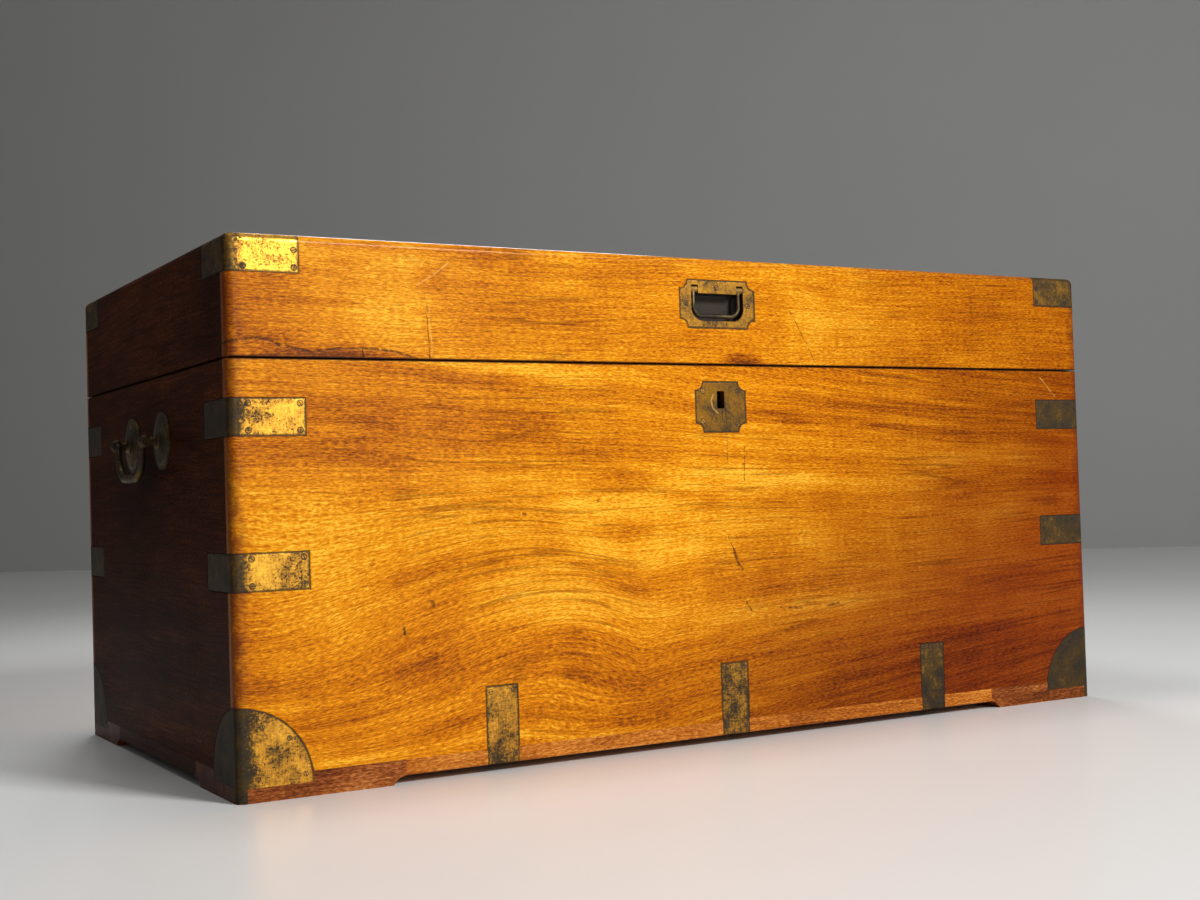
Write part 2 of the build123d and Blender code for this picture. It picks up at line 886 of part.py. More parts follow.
# Write every piece

keep(front_board, "front_board")
keep(back_board, "back_board")
keep(left_end_board, "left_end_board")
keep(at_right_end(left_end_board), "right_end_board")
keep(bottom_board.part, "bottom_board")
keep(front_base_strip.part, "front_base_strip")
keep(at_back(front_base_strip.part), "back_base_strip")
keep(left_base_strip.part, "left_base_strip")
keep(at_right_end(left_base_strip.part), "right_base_strip")

corner_pieces = {
    "foot": at_corners(foot.part),
    "corner_plate": corner_plates,
    "middle_strap": middle_straps,
    "upper_strap": upper_straps,
    "lid_corner_cap": lid_caps,
}
for kind, group in corner_pieces.items():
    for corner, piece in group.items():
        keep(piece, f"{corner}_{kind}")
for place, piece in front_bottom_straps.items():
    keep(piece, f"front_{place}_bottom_strap")
for place, piece in back_bottom_straps.items():
    keep(piece, f"back_{place}_bottom_strap")

keep(lock_plate.part, "lock_plate")
keep(lock_case.part, "lock_case")
keep(lock_bolt.part, "lock_bolt")
keep(link_plate.part, "link_plate")
keep(pull_plate.part, "pull_plate")
keep(pull_pins.part, "pull_pins")
keep(pull_handle.part, "pull_handle")

keep(at_right_end(lower_leaf), "left_hinge_lower_leaf")
keep(lower_leaf, "right_hinge_lower_leaf")
keep(at_right_end(upper_leaf), "left_hinge_upper_leaf")
keep(upper_leaf, "right_hinge_upper_leaf")
with BuildPart() as hinge_pins:
    add(hinge_pin.part)
    mirror(about=Plane.YZ)
keep(hinge_pins.part, "hinge_pins")

with BuildPart() as handle_nuts:
    add(left_nuts.part)
    mirror(about=Plane.YZ)
keep(handle_nuts.part, "handle_nuts")
keep(left_roses.part, "left_handle_roses")
keep(at_right_end(left_roses.part), "right_handle_roses")
keep(left_posts.part, "left_handle_posts")
keep(at_right_end(left_posts.part), "right_handle_posts")
keep(left_handle.part, "left_handle")
keep(at_right_end(left_handle.part), "right_handle")

keep(lid_front_board, "lid_front_board")
keep(lid_back_board, "lid_back_board")
keep(lid_left_board, "lid_left_board")
keep(at_right_end(lid_left_board), "lid_right_board")
keep(lid_top_board.part, "lid_top_board")
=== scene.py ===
import math
import random

import bmesh
import bpy
from mathutils import Matrix, Vector


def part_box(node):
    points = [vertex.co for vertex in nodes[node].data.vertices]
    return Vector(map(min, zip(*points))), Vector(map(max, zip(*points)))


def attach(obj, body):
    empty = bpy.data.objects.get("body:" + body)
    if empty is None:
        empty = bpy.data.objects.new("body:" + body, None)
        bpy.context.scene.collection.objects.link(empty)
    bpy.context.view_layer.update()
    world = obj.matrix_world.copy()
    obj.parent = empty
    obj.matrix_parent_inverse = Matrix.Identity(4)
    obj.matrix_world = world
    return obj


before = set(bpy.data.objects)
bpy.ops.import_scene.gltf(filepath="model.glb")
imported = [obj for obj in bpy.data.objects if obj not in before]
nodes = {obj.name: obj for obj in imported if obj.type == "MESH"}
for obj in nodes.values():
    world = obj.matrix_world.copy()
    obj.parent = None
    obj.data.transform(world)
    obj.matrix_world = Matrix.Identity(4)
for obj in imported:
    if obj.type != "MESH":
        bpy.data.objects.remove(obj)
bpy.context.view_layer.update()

# Places on the trunk, in metres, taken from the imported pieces

front_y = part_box("front_board")[0].y
back_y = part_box("back_board")[1].y
end_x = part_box("right_end_board")[1].x
rim_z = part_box("front_board")[1].z
lid_low_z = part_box("lid_front_board")[0].z
top_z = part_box("lid_top_board")[1].z

# Thickness of the walls and of the lid's top board

wall = 0.020
top_board = 0.016

strap_low, strap_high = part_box("front_right_upper_strap")
middle_low, middle_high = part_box("front_right_middle_strap")
strap_inner_x = strap_low.x
strap_inner_y = -strap_high.y
strap_leg = end_x - strap_inner_x
upper_strap_z = (strap_low.z + strap_high.z) / 2
middle_strap_z = (middle_low.z + middle_high.z) / 2
strap_half = (strap_high.z - strap_low.z) / 2

cap_low, cap_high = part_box("front_right_lid_corner_cap")
cap_inner_x = cap_low.x
cap_inner_y = -cap_high.y
cap_low_z = cap_low.z
cap_reach = cap_high.x - cap_low.x

plate_low, plate_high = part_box("front_right_corner_plate")
plate_radius = plate_high.x - plate_low.x
plate_low_z = plate_high.z - plate_radius

bottom_strap_boxes = [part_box(f"front_{place}_bottom_strap") for place in ("left", "middle", "right")]
bottom_strap_top = bottom_strap_boxes[0][1].z
bottom_strap_places = [(low.x + high.x) / 2 for low, high in bottom_strap_boxes]

lock_low, lock_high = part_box("lock_plate")
pull_low, pull_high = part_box("pull_plate")
bail_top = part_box("pull_handle")[1].z

# Radius of the hollowed corners of the lock plate and the pull plate

notch = 0.009


def colour(red, green, blue):
    """A colour as it is seen, 0 to 255, as the shader wants it."""
    seen = [part / 255 for part in (red, green, blue)]
    linear = [part / 12.92 if part <= 0.04045 else ((part + 0.055) / 1.055) ** 2.4 for part in seen]
    return (*linear, 1.0)


# Finishes


class Value:
    """What one socket gives. Sums of values read as sums and add the nodes that work them out."""

    def __init__(self, finish, socket):
        self.finish = finish
        self.socket = socket

    def math(self, operation, *others):
        return self.finish.node("ShaderNodeMath", {"operation": operation}, self, *others)[0]

    def __add__(self, other):
        return self.math("ADD", other)

    def __sub__(self, other):
        return self.math("SUBTRACT", other)

    def __rsub__(self, other):
        return self.finish.node("ShaderNodeMath", {"operation": "SUBTRACT"}, other, self)[0]

    def __mul__(self, other):
        return self.math("MULTIPLY", other)

    def __pow__(self, other):
        return self.math("POWER", other)

    def __abs__(self):
        return self.math("ABSOLUTE")

    __radd__ = __add__
    __rmul__ = __mul__

    def least(self, other):
        return self.math("MINIMUM", other)

    def most(self, other):
        return self.math("MAXIMUM", other)

    def rise(self, low, high):
        """0 up to low, 1 from high on, and smooth between; low may be above high."""
        if isinstance(low, (int, float)) and low > high:
            return 1 - self.rise(high, low)
        settings = {"interpolation_type": "SMOOTHSTEP"}
        return self.finish.node("ShaderNodeMapRange", settings, self, low, high)[0]


class Finish:
    """A material and the few kinds of nodes it is made of."""

    def __init__(self, name):
        self.material = bpy.data.materials.new(name)
        self.material.use_nodes = True
        self.tree = self.material.node_tree
        self.tree.nodes.clear()
        self.place = self.node("ShaderNodeTexCoord", {})[3]

    def node(self, kind, settings, *values, **named):
        """A node with its settings, then the values of its sockets in order or by name."""
        node = self.tree.nodes.new(kind)
        for name, setting in settings.items():
            if name == "stops":
                elements = node.color_ramp.elements
                while len(elements) < len(setting):
                    elements.new(1.0)
                for element, (position, tone) in zip(elements, setting):
                    element.position = position
                    element.color = tone
            else:
                setattr(node, name, setting)
        ports = [port for port in node.inputs if port.enabled]
        by_name = {port.name.lower().replace(" ", "_"): port for port in ports}
        pairs = list(zip(ports, values)) + [(by_name[name], value) for name, value in named.items()]
        for port, value in pairs:
            if isinstance(value, Value):
                self.tree.links.new(value.socket, port)
            else:
                port.default_value = value
        return [Value(self, port) for port in node.outputs if port.enabled]

    def axes(self):
        """The three coordinates of the place on the object."""
        return self.node("ShaderNodeSeparateXYZ", {}, self.place)

    def vector(self, x, y, z):
        return self.node("ShaderNodeCombineXYZ", {}, x, y, z)[0]

    def noise(self, vector, scale=1.0, detail=2.0, roughness=0.5, distortion=0.0):
        settings = {"noise_dimensions": "3D"}
        return self.node(
            "ShaderNodeTexNoise", settings, vector=vector, scale=scale, detail=detail,
            roughness=roughness, distortion=distortion,
        )[0]

    def ramp(self, value, *stops):
        return self.node("ShaderNodeValToRGB", {"stops": stops}, value)[0]

    def mix(self, factor, first, second, blend="MIX"):
        settings = {"data_type": "RGBA", "blend_type": blend}
        return self.node("ShaderNodeMix", settings, factor, first, second)[0]

    def darken(self, share, surface, stain):
        """The surface multiplied by the stain, by share."""
        return self.mix(share, surface, self.mix(1.0, surface, stain, "MULTIPLY"))

    def bump(self, height, strength, distance):
        return self.node("ShaderNodeBump", {}, height=height, strength=strength, distance=distance)[0]

    def shade(self, **sockets):
        """The shader itself, and the material it completes."""
        shader = self.node("ShaderNodeBsdfPrincipled", {}, **sockets)[0]
        self.node("ShaderNodeOutputMaterial", {}, shader)
        return self.material


def box_edge(u, v, low, high):
    """Distance outside a rectangle's edge, and below zero inside it."""
    centre = [(a + b) / 2 for a, b in zip(low, high)]
    half = [(b - a) / 2 for a, b in zip(low, high)]
    return (abs(u - centre[0]) - half[0]).most(abs(v - centre[1]) - half[1])


def round_edge(u, v, centre, radius):
    """Distance outside a circle, and below zero inside it."""
    across = u - centre[0]
    up = v - centre[1]
    return (across * across + up * up) ** 0.5 - radius


def notched_edge(u, v, low, high):
    """Distance outside a plate whose four corners are hollowed by quarter rounds."""
    centre = [(a + b) / 2 for a, b in zip(low, high)]
    half = [(b - a) / 2 for a, b in zip(low, high)]
    across = abs(u - centre[0])
    up = abs(v - centre[1])
    plain = (across - half[0]).most(up - half[1])
    return plain.most(0 - round_edge(across, up, half, notch))


def nearest(values):
    """The least of several distances."""
    found = values[0]
    for value in values[1:]:
        found = found.least(value)
    return found


def strap_edges(across, z, inner):
    """Edges of the two rows of arris straps, and of the plate at the bottom corner."""
    rows = abs(z - upper_strap_z).least(abs(z - middle_strap_z))
    straps = (inner - across).most(rows - strap_half)
    corner = round_edge(across, z, (inner + strap_leg, plate_low_z), plate_radius)
    return [abs(straps), abs(corner.most(plate_low_z - z))]


def stroke(finish, spot, start, end, width):
    """1 on the line from start to end, fading to 0 at width beside it."""
    run = Vector((end[0] - start[0], end[1] - start[1], 0))
    run_share = run / run.length_squared
    offset = finish.node("ShaderNodeVectorMath", {"operation": "SUBTRACT"}, spot, (*start, 0))[0]
    along = finish.node("ShaderNodeVectorMath", {"operation": "DOT_PRODUCT"}, offset, run_share)[0]
    share = finish.node("ShaderNodeMath", {"operation": "ADD", "use_clamp": True}, along, 0.0)[0]
    back = finish.node("ShaderNodeVectorMath", {"operation": "SCALE"}, vector=tuple(run), scale=share)[0]
    rest = finish.node("ShaderNodeVectorMath", {"operation": "SUBTRACT"}, offset, back)[0]
    gap = finish.node("ShaderNodeVectorMath", {"operation": "LENGTH"}, rest)[0]
    return gap.rise(width, width / 2)


def strokes(finish, spot, points, width):
    """1 on a line through the points."""
    found = None
    for start, end in zip(points, points[1:]):
        line = stroke(finish, spot, start, end, width)
        found = line if found is None else found.most(line)
    return found


def patch(u, v, centre, half_length, half_height):
    """A soft oval spot that is 1 at its middle."""
    across = (u - centre[0]) * (1 / half_length)
    up = (v - centre[1]) * (1 / half_height)
    return (across * across + up * up).rise(1.0, 0.0)


def layer(finish, place, scale, shift=(0.0, 0.0, 0.0), **noise):
    """Noise that repeats scale times in a metre along each of the place's three values."""
    stretched = [part * size for part, size in zip(place, scale)]
    moved = [part + move if move else part for part, move in zip(stretched, shift)]
    return finish.noise(finish.vector(*moved), **noise)


def weigh(middle, layers, weights):
    """The middle value, swayed by each layer by its weight."""
    for values, weight in zip(layers, weights):
        middle = middle + (values - 0.5) * weight
    return middle


# Tones from dark to light, each with its place on the ramp

honey = (
    (0.02, colour(112, 52, 8)),
    (0.28, colour(172, 90, 4)),
    (0.50, colour(208, 122, 4)),
    (0.72, colour(232, 150, 14)),
    (0.95, colour(252, 192, 54)),
)
# The end boards' dark red-brown, darkened further with painted shade to match the shadowed ends
shaded_russet = (
    (0.10, colour(30, 13, 7)),
    (0.35, colour(48, 21, 10)),
    (0.55, colour(62, 29, 14)),
    (0.80, colour(84, 42, 21)),
    (0.95, colour(110, 60, 32)),
)
nut = (
    (0.05, colour(64, 28, 12)),
    (0.38, colour(124, 62, 24)),
    (0.60, colour(160, 88, 36)),
    (0.90, colour(204, 136, 72)),
)
amber = (
    (0.05, colour(92, 42, 12)),
    (0.38, colour(150, 78, 20)),
    (0.60, colour(186, 106, 30)),
    (0.90, colour(222, 148, 62)),
)
raw = (
    (0.12, colour(118, 80, 48)),
    (0.50, colour(174, 132, 86)),
    (0.88, colour(210, 172, 122)),
)
# Dark of the joints: dirt round the brass, and painted shadow in the seam under the lid
grime_and_gap_shade = colour(34, 22, 12)

# Layers of the wood's figure: repeats in a metre along the grain, across it and through the board

flow_scale = (1.7, 4.5, 4.5)
fleck_scale = (190.0, 760.0, 500.0)
streak_scale = (14.0, 430.0, 200.0)
ribbon_scale = (46.0, 5.0, 5.0)
pore_scale = (95.0, 1150.0, 900.0)
nick_scale = (130.0, 380.0, 300.0)
cloud_scale = 6.5

# Layers that follow the rings or the bent grain, with the flow as their third value

band_scale = (1.3, 34.0, 1.5)
line_scale = (3.2, 165.0, 3.0)
vein_scale = (2.6, 60.0, 3.0)

# How far the grain wanders, how it leans, and how deep behind the face the rings' middle lies

flow_depth = 0.04
grain_lean = 0.035
heart_depth = 0.11

# Weights of bands, lines, flecks, streaks, ribbon and cloud; bare wood has only the first four

polished_weights = (1.2, 1.0, 1.4, 0.9, 0.2, 0.35)
bare_weights = (1.3, 1.0, 1.0, 0.6)

# Where on its noise each mark begins and is full, how strong it is, and what it multiplies the wood by

pore_range = (0.64, 0.74)
pore_share = 0.45
pore_stain = (0.45, 0.36, 0.30, 1)
vein_range = (0.030, 0.004)
vein_cloud = (0.44, 0.60)
vein_share = 0.5
nick_range = (0.75, 0.80)
nick_share = 0.7
line_stain = (0.30, 0.20, 0.15, 1)

# The dark line in a joint: its full core, its least reach and how much its worn edge adds, in metres

joint_core = 0.0002
joint_reach = 0.0004
joint_wear = 0.0021
joint_share = 0.9
joint_wear_scale = 170.0

# Gloss of the polish, which clouds and bare wood dull, and how steep the surface's relief is

polish_rough = 0.30
cloud_rough = 0.16
joint_rough = 0.4
bare_rough = 0.35
coat_rough = 0.10
relief_strength = 0.35
relief_depth = 0.0006


def camphor(name, face, seed, tones, joints=(), inside=None, tint=None, marks=None, heart=0.16, coat=0.06):
    """Polished camphor wood. Face names the coordinate along the grain, across it and through the board."""
    finish = Finish(name)
    x, y, z = finish.axes()
    by_name = {"x": x, "y": y, "z": z}
    along, across, through = (by_name[letter] for letter in face)
    first, second, third = 5.0 * seed, 3.1 * seed, 1.7 * seed
    board = (along, across, through)
    flow = layer(finish, board, flow_scale, (first, second, 0.0), detail=3.0, roughness=0.45) - 0.5
    bent = across + flow * flow_depth
    if marks:
        bent = marks.lean(along, across, bent)
    rings = round_edge(bent + along * grain_lean, through, (heart, heart_depth), 0.0)
    bands = layer(finish, (along, rings, flow), band_scale, (second, 0.0, 0.0), detail=4.0, roughness=0.6)
    lines = layer(finish, (along, rings, flow), line_scale, (third, 0.0, 0.0), detail=3.0, roughness=0.6)
    grain = (along, bent, through)
    flecks = layer(
        finish, grain, fleck_scale, (third, 0.0, 0.0), detail=2.0, roughness=0.6, distortion=0.4
    )
    streaks = layer(finish, grain, streak_scale, (first, 0.0, 0.0), detail=3.0, roughness=0.65)
    ribbon = layer(finish, board, ribbon_scale, (0.0, first, 0.0), detail=2.0)
    cloud = finish.noise(finish.place, scale=cloud_scale, detail=3.0)
    pores = layer(finish, grain, pore_scale, (0.0, first, 0.0), detail=1.0).rise(*pore_range)
    vein_lines = abs(layer(finish, (along, bent, flow), vein_scale, (first, 0.0, 0.0), detail=3.0) - 0.5)
    veins = vein_lines.rise(*vein_range) * cloud.rise(*vein_cloud)
    nicks = layer(finish, board, nick_scale, (second, 0.0, 0.0), detail=1.0).rise(*nick_range)
    tone = weigh(0.5, (bands, lines, flecks, streaks, ribbon, cloud), polished_weights)
    if marks:
        tone = marks.figure(along + flow * 0.10, bent, tone)
    surface = finish.darken(pores * pore_share, finish.ramp(tone, *tones), pore_stain)
    surface = finish.darken((veins * vein_share).most(nicks * nick_share), surface, line_stain)
    if tint:
        surface = tint(finish, along, across, surface)
    polish = polish_rough + cloud * cloud_rough
    height = flecks * 0.35 + bands * 0.25 - pores * 0.6 - nicks * 0.8
    if joints:
        ragged = finish.noise(finish.place, scale=joint_wear_scale, detail=2.0)
        edge = nearest([joint(along, across, through) for joint in joints])
        line = edge.rise(joint_reach + ragged * joint_wear, joint_core)
        # Joint lines: dirt round the brass, and painted shadow along the seam under the lid
        surface = finish.mix(line * joint_share, surface, grime_and_gap_shade)
        height = height - line * 0.8
        polish = polish + line * joint_rough
    if marks:
        surface, height = marks.cuts(finish, along, across, surface, height)
    shine = coat
    if inside:
        bare = inside(x, y, z)
        bare_tone = weigh(0.5, (bands, lines, flecks, streaks), bare_weights)
        surface = finish.mix(bare, surface, finish.ramp(bare_tone, *raw))
        polish = polish + bare * bare_rough
        shine = (1 - bare) * coat
    if marks:
        shine = marks.shine(across, shine)
    return finish.shade(
        base_color=surface,
        roughness=polish,
        coat_weight=shine,
        coat_roughness=coat_rough,
        specular_ior_level=coat,
        normal=finish.bump(height, relief_strength, relief_depth),
    )


# How near to a face a place counts as on it, and how deep the dark seam under the lid goes, a painted shadow
# of the gap between lid and body

skin = 0.0004
seam_depth = 0.0012
under_trunk = -0.1


def within_walls(x, y):
    """Above zero between the inner faces of the four walls."""
    return (end_x - wall + skin - abs(x)).least(back_y - wall + skin - abs(y))


def inside_case(x, y, z):
    """1 on the raw inner faces of the body."""
    return within_walls(x, y).rise(0.0, skin / 2)


def inside_lid(x, y, z):
    """1 on the raw inner faces of the lid."""
    return within_walls(x, y).least(top_z - top_board + skin - z).rise(0.0, skin / 2)


def seam(gap, depth):
    """Distance from the seam under the lid, which is dark only at the outer face: painted shadow of the gap
    between lid and body.
    """
    return gap.most(depth - seam_depth)


def body_front_joint(along, across, through):
    edges = strap_edges(abs(along), across, strap_inner_x)
    for place in bottom_strap_places:
        low = (place - strap_half, under_trunk)
        high = (place + strap_half, bottom_strap_top)
        edges.append(abs(box_edge(along, across, low, high)))
    return nearest([*edges, seam(rim_z - across, back_y - abs(through))])


def body_end_joint(along, across, through):
    edges = strap_edges(abs(along), across, strap_inner_y)
    return nearest([*edges, seam(rim_z - across, end_x - abs(through))])


def lock_joint(along, across, through):
    return notched_edge(along, across, (lock_low.x, lock_low.z), (lock_high.x, lock_high.z)).most(0.0)


def pull_joint(along, across, through):
    return notched_edge(along, across, (pull_low.x, pull_low.z), (pull_high.x, pull_high.z)).most(0.0)


def lid_front_joint(along, across, through):
    cap = abs((cap_inner_x - abs(along)).most(cap_low_z - across))
    return cap.least(seam(across - lid_low_z, back_y - abs(through)))


def lid_end_joint(along, across, through):
    cap = abs((cap_inner_y - abs(along)).most(cap_low_z - across))
    return cap.least(seam(across - lid_low_z, end_x - abs(through)))


def lid_top_joint(along, across, through):
    return abs(round_edge(abs(along), abs(across), (end_x, back_y), cap_reach))


# How near the ends the wood, and the brass on it, takes on the painted shade of the shadowed end faces

end_far = 0.0030
end_near = 0.0005
# Painted shade that darkens the feet and strips on the shadowed ends
foot_end_shade = (0.26, 0.20, 0.18, 1)
# Partly the wood's own redder tone and partly painted shade falling off to the right
red_and_shade = (0.27, 0.09, 0.06, 1)


def on_ends(x):
    """1 on the two end faces, and fading round the upright arrises."""
    return abs(x).rise(end_x - end_far, end_x - end_near)


def arris_shade(finish, along, across, surface):
    """Redder and darker towards the rounded arrises at both ends of the front and the back: their wear, and
    painted shade where they turn from the light.
    """
    ragged = finish.noise(finish.place, scale=60.0, detail=3.0) * 0.02
    shade = (abs(along) + ragged).rise(end_x - 0.006, end_x + 0.010)
    return finish.mix(shade * 0.8, surface, colour(92, 38, 18))


def foot_tint(finish, along, across, surface):
    """Feet and strips are as dark on the ends as the ends themselves: painted shade of the shadowed ends."""
    return finish.darken(on_ends(along), surface, foot_end_shade)


def reddened_and_shaded(finish, along, across, surface, red, reach, share):
    """Wood that age has turned redder, and darker with painted shade, as red grows over its reach, in soft
    clouds.
    """
    cloud = finish.noise(finish.place, scale=3.0, detail=2.0) - 0.5
    surface = finish.darken((red + cloud * 0.3).rise(*reach) * share, surface, red_and_shade)
    return arris_shade(finish, along, across, surface)


def front_tint(finish, along, across, surface):
    """The front is redder and darker to the right and low down: partly its own tone, partly painted shade.
    """
    return reddened_and_shaded(finish, along, across, surface, along + (0.20 - across), (-0.15, 0.52), 0.92)


def lid_tint(finish, along, across, surface):
    """The lid is redder and darker to the right: partly its own tone, partly painted shade."""
    return reddened_and_shaded(finish, along, across, surface, along * 0.9, (-0.12, 0.50), 0.5)


# Marks are given in metres along the board and up. Spots have a middle, half a length, half a height
# and how much they change the tone. Cuts and scratches have the points they run through and a width.

cut_tone = colour(58, 30, 14)
cut_share = 0.75
scratch_tone = colour(255, 206, 110)
scratch_share = 0.35
mark_narrowing = 0.7


class FrontMarks:
    """The figure and the old cuts of the front board."""

    dark_spots = (
        ((-0.115, 0.262), 0.055, 0.012, 0.20),
        ((-0.150, 0.288), 0.040, 0.012, 0.14),
        ((-0.120, 0.214), 0.050, 0.014, 0.16),
        ((0.070, 0.346), 0.060, 0.007, 0.26),
        ((0.100, 0.336), 0.030, 0.004, 0.22),
        ((-0.340, 0.180), 0.045, 0.010, 0.18),
        ((0.060, 0.130), 0.060, 0.010, 0.18),
        ((0.150, 0.240), 0.160, 0.020, 0.10),
    )
    light_spots = (
        ((-0.120, 0.238), 0.110, 0.012, 0.12),
        ((-0.100, 0.190), 0.090, 0.026, 0.14),
        ((-0.300, 0.215), 0.090, 0.030, 0.10),
        ((-0.340, 0.120), 0.200, 0.090, 0.14),
        ((-0.360, 0.260), 0.190, 0.090, 0.12),
        ((0.120, 0.310), 0.180, 0.010, 0.12),
    )
    cuts_at = (
        (((0.0063, 0.2988), (0.0056, 0.2749)), 0.0011),
        (((0.0268, 0.2916), (0.0262, 0.2750), (0.0257, 0.2585)), 0.0012),
        (((0.0033, 0.2024), (0.0102, 0.1902)), 0.0010),
        (((0.0102, 0.1902), (0.0146, 0.1771), (0.0192, 0.1689)), 0.0034),
        (((0.0230, 0.1369), (0.0289, 0.1286)), 0.0020),
        (((-0.2253, 0.2329), (-0.2235, 0.2325)), 0.0022),
        (((-0.1451, 0.2434), (-0.1436, 0.2432)), 0.0018),
        (((-0.3189, 0.1579), (-0.3175, 0.1545)), 0.0030),
        (((-0.3461, 0.1370), (-0.3458, 0.1310)), 0.0026),
        (((0.0660, 0.1292), (0.0911, 0.1267)), 0.0022),
        (((0.1245, 0.1266), (0.1402, 0.1287)), 0.0020),
    )
    scratches_at = (
        (((-0.2493, 0.1627), (-0.2341, 0.1508), (-0.2189, 0.1380)), 0.0012),
        (((-0.2050, 0.3450), (-0.1990, 0.3330)), 0.0010),
        (((0.4400, 0.3650), (0.4620, 0.3440)), 0.0012),
    )

    def lean(self, along, across, bent):
        """The grain draws together to the right, and rises to the right low at the left."""
        rising = patch(along, across, (-0.34, 0.13), 0.26, 0.14) * (along + 0.34) * -0.24
        drawn = (along + 0.10).most(0.0) * (across - 0.235) * 0.9
        return bent + rising + drawn

    def shine(self, across, shine):
        """The polish is even."""
        return shine

    def figure(self, along, across, tone):
        """The tone with the dark and the light spots of the figure."""
        for centre, half_length, half_height, depth in self.dark_spots:
            tone = tone - patch(along, across, centre, half_length, half_height) * depth
        for centre, half_length, half_height, depth in self.light_spots:
            tone = tone + patch(along, across, centre, half_length, half_height) * depth
        return tone

    def cuts(self, finish, along, across, surface, height):
        """The surface and its relief with cuts, which are dark, and scratches, which are light."""
        wobble = finish.noise(finish.place, scale=120.0, detail=2.0) - 0.5
        broken = finish.noise(finish.place, scale=260.0, detail=1.0).rise(0.34, 0.56) * 0.75 + 0.25
        spot = finish.vector(along + wobble * 0.003, across + wobble * 0.002, 0.0)
        kinds = (
            (self.cuts_at, cut_share, cut_tone, 1.6),
            (self.scratches_at, scratch_share, scratch_tone, 0.8),
        )
        for marks, share, tone, depth in kinds:
            for points, width in marks:
                cut = strokes(finish, spot, points, width * mark_narrowing) * broken
                surface = finish.mix(cut * share, surface, tone)
                height = height - cut * depth
        return surface, height


class LidMarks(FrontMarks):
    """The split, the stains and the scratches of the lid's front board."""

    dark_spots = (
        ((-0.420, 0.4250), 0.070, 0.006, 0.16),
        ((-0.300, 0.4500), 0.030, 0.016, 0.12),
        ((-0.400, 0.3770), 0.105, 0.009, 0.42),
        ((0.025, 0.3760), 0.032, 0.012, 0.42),
    )
    light_spots = (
        ((-0.380, 0.4180), 0.110, 0.040, 0.22),
        ((0.200, 0.4200), 0.160, 0.020, 0.08),
    )
    cuts_at = (
        (
            (
                (-0.5009, 0.3860), (-0.4906, 0.3887), (-0.4731, 0.3908), (-0.4626, 0.3893),
                (-0.4511, 0.3835), (-0.4377, 0.3820), (-0.4233, 0.3797), (-0.4013, 0.3827),
                (-0.3733, 0.3832), (-0.3543, 0.3818), (-0.3400, 0.3793), (-0.3274, 0.3750),
            ),
            0.0022,
        ),
        (((-0.4490, 0.3935), (-0.4480, 0.3800)), 0.0022),
        (((-0.3790, 0.3830), (-0.3780, 0.3760)), 0.0018),
        (((-0.3160, 0.4223), (-0.3154, 0.3951), (-0.3138, 0.3753)), 0.0010),
        (((0.0891, 0.4300), (0.1050, 0.4044), (0.1196, 0.3787)), 0.0009),
    )
    scratches_at = (
        (((-0.3246, 0.4411), (-0.3097, 0.4499), (-0.2946, 0.4615)), 0.0013),
        (((-0.3135, 0.4200), (-0.3120, 0.3780)), 0.0010),
    )

    def lean(self, along, across, bent):
        """The grain of the lid runs straight."""
        return bent

    def shine(self, across, shine):
        """The upper arris is polished by hands."""
        return (across.rise(top_z - 0.0060, top_z - 0.0035) * 0.6).most(shine)


def paint(names, material):
    """Give CAD pieces their finish."""
    for name in names:
        mesh = nodes[name].data
        mesh.materials.clear()
        mesh.materials.append(material)


paint(
    ["front_board"],
    camphor(
        "polished_front", "xzy", 1.0, honey, (body_front_joint, lock_joint), inside_case, front_tint,
        FrontMarks(), heart=0.19,
    ),
)
paint(
    ["back_board"],
    camphor(
        "polished_back", "xzy", 2.3, honey, (body_front_joint,), inside_case, arris_shade, heart=0.25
    ),
)
paint(
    ["left_end_board", "right_end_board"],
    camphor(
        "polished_ends", "yzx", 3.7, shaded_russet, (body_end_joint,), inside_case, heart=0.21, coat=0.01
    ),
)
paint(
    ["lid_front_board"],
    camphor(
        "polished_lid_front", "xzy", 4.2, honey, (lid_front_joint, pull_joint), inside_lid, lid_tint,
        LidMarks(), heart=0.40,
    ),
)
paint(
    ["lid_back_board"],
    camphor(
        "polished_lid_back", "xzy", 5.9, honey, (lid_front_joint,), inside_lid, arris_shade, heart=0.45
    ),
)
paint(
    ["lid_left_board", "lid_right_board"],
    camphor(
        "polished_lid_ends", "yzx", 6.4, shaded_russet, (lid_end_joint,), inside_lid, heart=0.44, coat=0.01
    ),
)
paint(
    ["lid_top_board"],
    camphor("polished_top", "xyz", 7.1, honey, (lid_top_joint,), inside_lid, heart=0.03),
)
paint(["bottom_board"], camphor("bare_bottom", "xyz", 8.8, raw, heart=0.05))

corners = ("front_left", "front_right", "back_left", "back_right")
strips = [f"{place}_base_strip" for place in ("front", "back")]
feet = [f"{corner}_foot" for corner in corners]
paint(strips, camphor("base_strip_wood", "xzy", 9.1, amber, tint=foot_tint, heart=0.02))
paint(feet, camphor("base_wood", "xzy", 9.5, nut, tint=foot_tint, heart=0.02))
paint(["left_base_strip", "right_base_strip"], camphor("base_wood_ends", "yzx", 9.9, shaded_russet, coat=0.02))

# Layers of the brass: how often each repeats in a metre, on all sides or along x, y and z

blotch_scale = 52.0
fine_scale = 420.0
speck_scale = 520.0
web_scale = 150.0
rub_scale = (150.0, 150.0, 900.0)
scour_scale = (700.0, 700.0, 70.0)

# Weights of blotches, fine spots, rubs and scours in the stain

stain_weights = (1.3, 0.6, 0.4, 0.3)

# Where on its noise each mark begins and is full, and how strong it is

